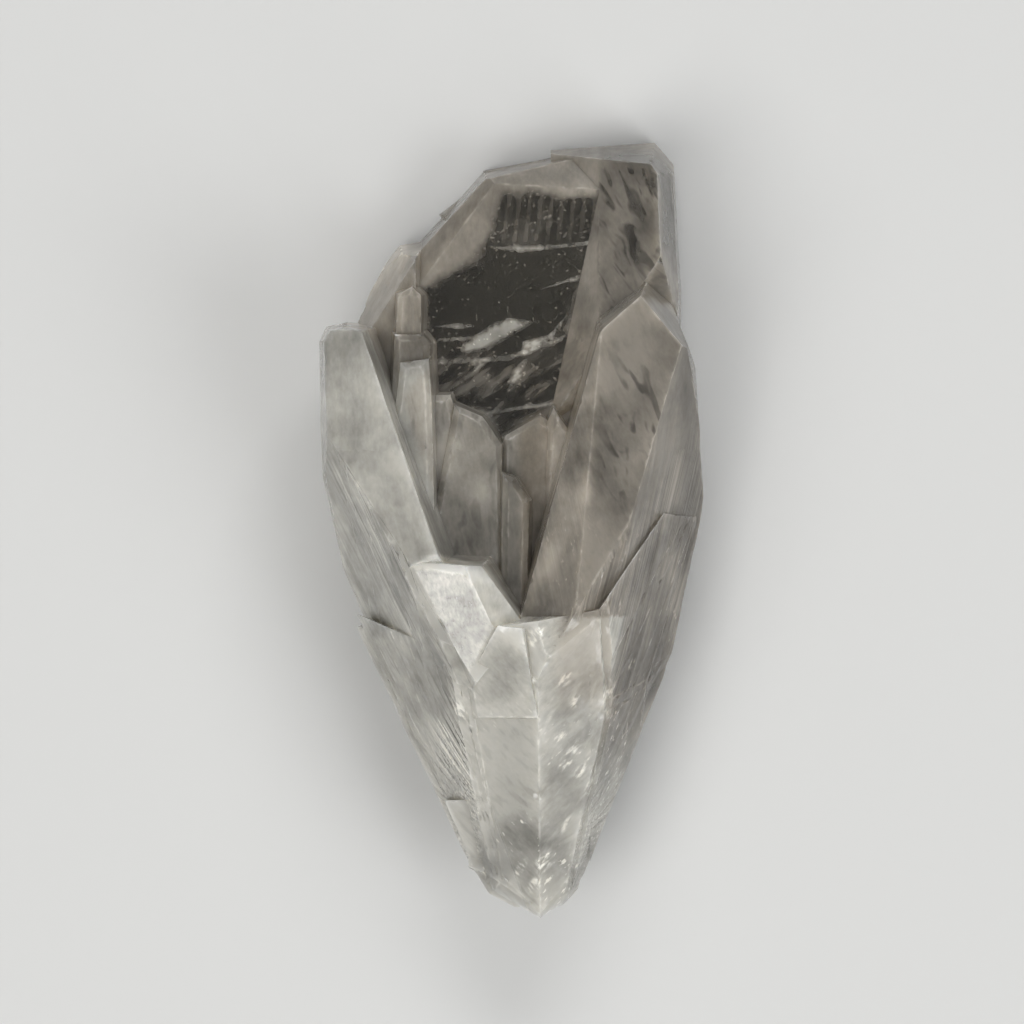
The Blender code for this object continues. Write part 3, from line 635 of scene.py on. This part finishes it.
def calcite():
    """Clear stone, cloudy where veils and frost fill it, with painted glints and highlights in its colour."""
    stone = Finish("calcite")
    cloud, warm, pale, pane, ribbed, bright, small, feathered, rim = (
        stone.layer(name) for name in (
            "cloud", "warm", "pale", "pane", "ribbed", "bright", "small", "feathered", "rim",
        )
    )
    veils, wisps = stone.layer("veils"), stone.layer("wisps")
    drift = stone.noise(stone.place(0.5), detail=2.0, rough=0.55)
    streaks = stone.noise(stone.grain(0.8, 0.20), detail=2.0, rough=0.6)
    fine_lines = stone.noise(stone.grain(5.0, 0.05, 7.0), detail=1.0, rough=0.55)
    mottle = stone.noise(stone.grain(2.2, 1.1, 4.0), detail=2.0, rough=0.65)
    feathers = stone.noise(stone.grain(0.8, 0.28, 3.0), detail=1.0, bend=1.0)

    clear = stone.step(pane + (drift - 0.5) * 2.0 + (wisps - 0.5) * 1.6, -0.5, 1.0)
    ribs = stone.step(stone.sine(stone.across(1.12) + wisps * 2.0), -0.5, 1.2) * stone.step(ribbed, -0.2, 0.5)
    marks = stone.step(feathers, 0.50, 0.70) * feathered
    # Edges: frost that roughens them, and a painted highlight that makes them paler.
    rim_frost_and_highlight = stone.step(rim, 0.30, 0.0) * stone.step(drift, 0.42, 0.66)
    # Painted glints: bright specks added to the tone, in clusters where they are likely.
    clusters = stone.layer("clusters") * stone.layer("glinting")
    sparks = stone.noise(stone.grain(2.4, 0.8, 9.0), detail=2.0, rough=0.6)
    glints = stone.step(sparks, 0.62, 0.72) * clusters
    # Painted glints on the flaws, which also make the stone there cloudier.
    flares = stone.step(stone.layer("flaw_glinting"), 0.0, 0.7) * stone.step(sparks, 0.44, 0.66)
    swirls = (veils - 0.5) * 1.1 + (wisps - 0.5) * 0.7
    stony = cloud + swirls + (streaks - 0.5) * 0.2 + (mottle - 0.5) * 0.2
    stony = stony - marks * 0.32 + glints * 0.3 + flares * 0.2
    edge_dust = stone.step(pane, 3.0, 0.5) * 0.04
    specks = stone.step(stone.noise(stone.place(3.4), detail=0.0) + edge_dust, 0.74, 0.80)
    cracks = stone.step(stone.layer("cracked") + (mottle - 0.5) * 0.7 + (wisps - 0.5) * 0.8, -0.24, 0.5) * clear
    trails = stone.step(streaks, 0.44, 0.70) * stone.layer("smoky")
    glassy = stone.step(wisps, 0.54, 0.84) * 0.26 + ribs * (0.08 + mottle * 0.12) + specks * 0.45 + 0.01
    glassy = glassy + trails * 0.36 + cracks * (0.1 + wisps * 0.9)
    milk = stone.add("ShaderNodeClamp", None, {
        "Value": stony * (1 - clear) + clear * glassy, "Min": 0.02, "Max": 0.92,
    })

    striated = stone.layer("striated") * stone.step(veils, 0.30, 0.60)
    # Painted highlights along the flank's growth lines: lit bands are painted paler and dark bands darker, over
    # bumps of the same bands.
    bands = stone.noise(stone.grain(2.0, 0.024, 2.0), detail=2.0, rough=0.65)
    lit_bands, dark_bands = stone.step(bands, 0.53, 0.63), stone.step(bands, 0.47, 0.37)
    strokes = stone.step(stone.noise(stone.grain(1.3, 0.45, 5.0), detail=1.0), 0.54, 0.70)
    # Painted highlight: the tone is paler near the sharp ridges.
    near_rim = stone.step(rim, 2.6, 0.0)
    tone = pale * (1 + swirls * 0.30 + (streaks - 0.5) * 0.08 + (mottle - 0.5) * 0.18 + near_rim * 0.12)
    tone = tone * (1 + striated * (lit_bands * 0.7 - dark_bands * 0.6 + (fine_lines - 0.5) * 1.3))
    tone = tone * (1 - marks * 0.30) + rim_frost_and_highlight * 0.12 + glints * 0.4 + flares * 0.30
    tone = tone + strokes * stone.layer("plumed") * 0.07
    tone = tone + (0.36 + drift * 0.8 - tone) * cracks
    pits = stone.step(stone.noise(stone.place(1.5), detail=2.0, rough=0.7), 0.60, 0.72)
    # Painted highlight: the bright facet and the small facet are painted paler, as if they mirrored the key
    # light, broken by etch pits.
    shine = stone.step(bright, -0.1, 0.25) * 0.55 + stone.step(small, -0.1, 0.3) * 0.3
    tone = stone.add("ShaderNodeClamp", None, {
        "Value": tone + shine * (0.10 + (mottle - 0.5) * 0.9 - pits * 0.45), "Min": 0.03, "Max": 0.88,
    })
    cool = stone.blend(tone, tint(0.0, 0.0, 0.0), tint(1.0, 0.975, 0.89))
    warmed = stone.blend(tone, tint(0.0, 0.0, 0.0), tint(1.0, 0.90, 0.76))
    body = stone.blend(warm * (1 - cracks), cool, warmed)

    bumps = stone.add("ShaderNodeBump", None, {
        "Strength": 0.14, "Distance": 0.2 * MM,
        "Height": fine_lines * 0.1 + drift * 1.2 + bands * striated * 12.0 + fine_lines * striated * 3.0,
    })
    gloss = 0.06 + drift * 0.12 + rim_frost_and_highlight * 0.15 + stone.layer("worn") * 0.6 + pits * shine * 0.4
    cloudy = stone.add("ShaderNodeBsdfPrincipled", None, {
        "Base Color": body, "Roughness": gloss + 0.05, "IOR": CALCITE_IOR, "Normal": bumps,
        "Subsurface Weight": 1.0, "Subsurface Radius": (1.0, 0.97, 0.9), "Subsurface Scale": 4.0 * MM,
    })
    clear_stone = stone.add("ShaderNodeBsdfPrincipled", None, {
        "Base Color": tint(0.58, 0.575, 0.555), "Roughness": gloss - 0.05, "IOR": CALCITE_IOR, "Normal": bumps,
        "Transmission Weight": 1.0,
    })
    surface = stone.add("ShaderNodeMixShader", None, {0: milk, 1: clear_stone, 2: cloudy})
    smoke = stone.add("ShaderNodeVolumeAbsorption", None, {
        "Color": tint(0.80, 0.785, 0.75), "Density": 280.0,
    })
    return stone.close(surface, smoke)


def pearly():
    """The white sheen of a crack or a cleavage flake inside the stone."""
    pearl = Finish("pearly_crack")
    cloudlets = pearl.noise(pearl.place(0.9), detail=4.0, rough=0.6, bend=0.8)
    cover = pearl.step(cloudlets, 0.30, 0.62)
    white = pearl.blend(cloudlets, tint(0.62, 0.61, 0.58), tint(0.95, 0.95, 0.93))
    sheet = pearl.add("ShaderNodeBsdfPrincipled", None, {
        "Base Color": white, "Roughness": 0.16, "IOR": 1.9, "Alpha": cover * 0.7 + 0.12,
    })
    return pearl.close(sheet)


def table_finish():
    """Plain pale floor."""
    floor = Finish("pale_floor")
    return floor.close(floor.add("ShaderNodeBsdfPrincipled", None, {
        "Base Color": tint(0.62, 0.62, 0.61), "Roughness": 0.8, "IOR": 1.3,
    }))


def softbox(name, place, target, width, height, power, tone=(1.0, 1.0, 1.0)):
    """A rectangular light, in metres and watts, turned to its target."""
    light = bpy.data.lights.new(name, "AREA")
    light.shape = "RECTANGLE"
    light.size, light.size_y = width, height
    light.energy = power
    light.color = tone
    box = bpy.data.objects.new(name, light)
    bpy.context.scene.collection.objects.link(box)
    box.location = place
    box.rotation_euler = (Vector(target) - Vector(place)).to_track_quat("-Z", "Y").to_euler()
    box.visible_camera = False
    return box


def studio():
    """Floor, soft light and the camera, which looks straight down on the open front."""
    scene = bpy.context.scene
    world = bpy.data.worlds.new("studio")
    world.use_nodes = True
    world.node_tree.nodes["Background"].inputs["Color"].default_value = (0.78, 0.79, 0.8, 1.0)
    world.node_tree.nodes["Background"].inputs["Strength"].default_value = 0.30
    scene.world = world

    mesh = bpy.data.meshes.new("floor")
    reach = 3.0
    corners = [(-reach, -reach, 0), (reach, -reach, 0), (reach, reach, 0), (-reach, reach, 0)]
    mesh.from_pydata(corners, [], [(0, 1, 2, 3)])
    mesh.materials.append(table_finish())
    floor = bpy.data.objects.new("floor", mesh)
    floor.location.z = -0.2 * MM
    scene.collection.objects.link(floor)

    softbox("key", (-0.34, -0.36, 0.74), (0, 0, 0.01), 0.56, 0.56, 4.5, (1.0, 0.99, 0.97))
    softbox("fill", (0.50, -0.34, 0.55), (0, 0, 0.01), 0.4, 0.5, 2.6, (0.98, 0.99, 1.0))
    softbox("top_strip", (0.08, 0.6, 0.55), (0, 0.01, 0.01), 0.5, 0.25, 2.6)

    far, middle_height, sensor = 1.5, 0.010, 36.0
    picture_width = PICTURE_PIXELS * PIXEL * MM
    lens = bpy.data.cameras.new("camera")
    lens.sensor_width = sensor
    lens.lens = sensor * (far - middle_height) / picture_width
    lens.clip_start, lens.clip_end = 0.1, 10.0
    camera = bpy.data.objects.new("camera", lens)
    camera.location = (0.0, 0.0017, far)
    scene.collection.objects.link(camera)
    scene.camera = camera

    scene.view_settings.view_transform = "Standard"
    scene.view_settings.look = "None"
    scene.cycles.use_denoising = True
    scene.cycles.adaptive_threshold = 0.16
    scene.cycles.max_bounces = 8
    scene.cycles.diffuse_bounces = 3
    scene.cycles.transmission_bounces = 8
    scene.cycles.sample_clamp_indirect = 3.0


stone_mesh = CrystalMesh(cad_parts["calcite_crystal"])
crystal = build_crystal(stone_mesh, "crystal")
crystal.data.materials.append(calcite())
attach(crystal, "root")
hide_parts("calcite_crystal")
healed_cracks()
glint_flakes(stone_mesh)

studio()
